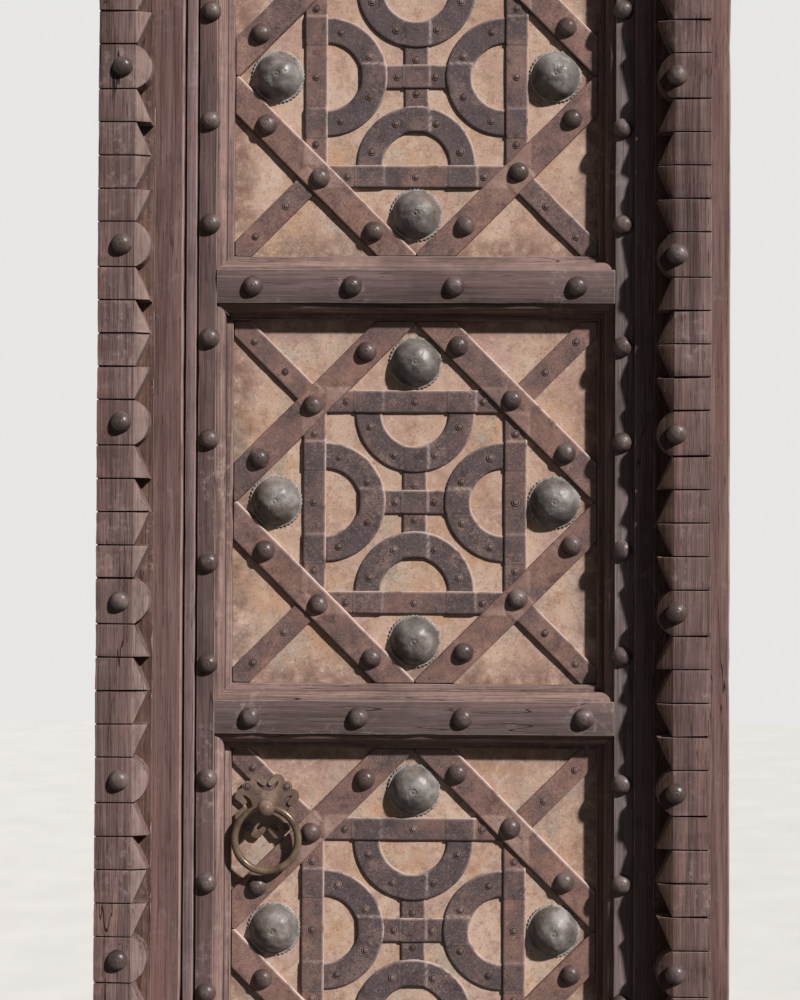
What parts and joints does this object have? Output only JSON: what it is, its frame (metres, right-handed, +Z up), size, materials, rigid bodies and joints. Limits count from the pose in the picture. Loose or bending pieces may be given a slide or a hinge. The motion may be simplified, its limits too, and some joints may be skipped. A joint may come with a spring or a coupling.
{
  "type": "carved wooden door",
  "caption": "Carved wooden door with metal strapwork panels, domed nails, bosses and a ring handle, hung on pivots in its wooden frame.",
  "frame": {"origin": "floor level, centre of the overall box, which is the middle of the leaf's panels on the leaf's front face", "axes": "+X across the door to the hinge side, +Y into the wall, +Z up"},
  "size_m": [1.004, 0.138, 3.022],
  "materials": {
    "frame_wood": "weathered reddish brown timber",
    "carved_wood": "weathered carved timber",
    "leaf_wood": "weathered grey brown timber",
    "panel_sheet": "dull tan copper-coloured sheet",
    "strap_iron": "brown rusted strap metal",
    "boss_metal": "dark grey patina",
    "stud_iron": "dark worn metal",
    "pivot_iron": "dark iron",
    "handle_brass": "dull aged brass"
  },
  "bodies": {
    "frame": {"latch_jamb": "frame_wood", "hinge_jamb": "frame_wood", "lintel": "frame_wood", "threshold": "frame_wood", "latch_strip": "carved_wood", "hinge_strip": "carved_wood", "head_strip": "carved_wood", "latch_stop": "carved_wood", "hinge_stop": "carved_wood", "head_stop": "carved_wood", "strip_studs": "stud_iron", "bottom_socket": "pivot_iron", "top_socket": "pivot_iron"},
    "leaf": {"latch_stile": "leaf_wood", "hinge_stile": "leaf_wood", "top_rail": "leaf_wood", "upper_rail": "leaf_wood", "middle_rail": "leaf_wood", "lower_rail": "leaf_wood", "bottom_rail": "leaf_wood", "board_1": "leaf_wood", "board_2": "leaf_wood", "board_3": "leaf_wood", "board_4": "leaf_wood", "sheet_1": "panel_sheet", "sheet_2": "panel_sheet", "sheet_3": "panel_sheet", "sheet_4": "panel_sheet", "cross_1": "strap_iron", "cross_2": "strap_iron", "cross_3": "strap_iron", "cross_4": "strap_iron", "arches_1": "strap_iron", "arches_2": "strap_iron", "arches_3": "strap_iron", "arches_4": "strap_iron", "square_1": "strap_iron", "square_2": "strap_iron", "square_3": "strap_iron", "square_4": "strap_iron", "corners_1": "strap_iron", "corners_2": "strap_iron", "corners_3": "strap_iron", "corners_4": "strap_iron", "diamond_1": "strap_iron", "diamond_2": "strap_iron", "diamond_3": "strap_iron", "diamond_4": "strap_iron", "bosses": "boss_metal", "stile_studs": "stud_iron", "rail_studs": "stud_iron", "strap_studs": "stud_iron", "rivets": "stud_iron", "bottom_pivot": "pivot_iron", "top_pivot": "pivot_iron", "ring_plate": "handle_brass", "ring_knob": "handle_brass"},
    "ring": {"pull_ring": "handle_brass"}
  },
  "joints": [
    {"name": "leaf_swing", "type": "hinge", "parent": "frame", "child": "leaf", "pos_m": [0.347, 0.031, 0.035], "axis": [0, 0, -1], "range_deg": [0, 90]},
    {"name": "ring_swing", "type": "hinge", "parent": "leaf", "child": "ring", "pos_m": [-0.237, 0.0155, 1.329], "axis": [-1, 0, 0], "range_deg": [-3, 120]}
  ]
}
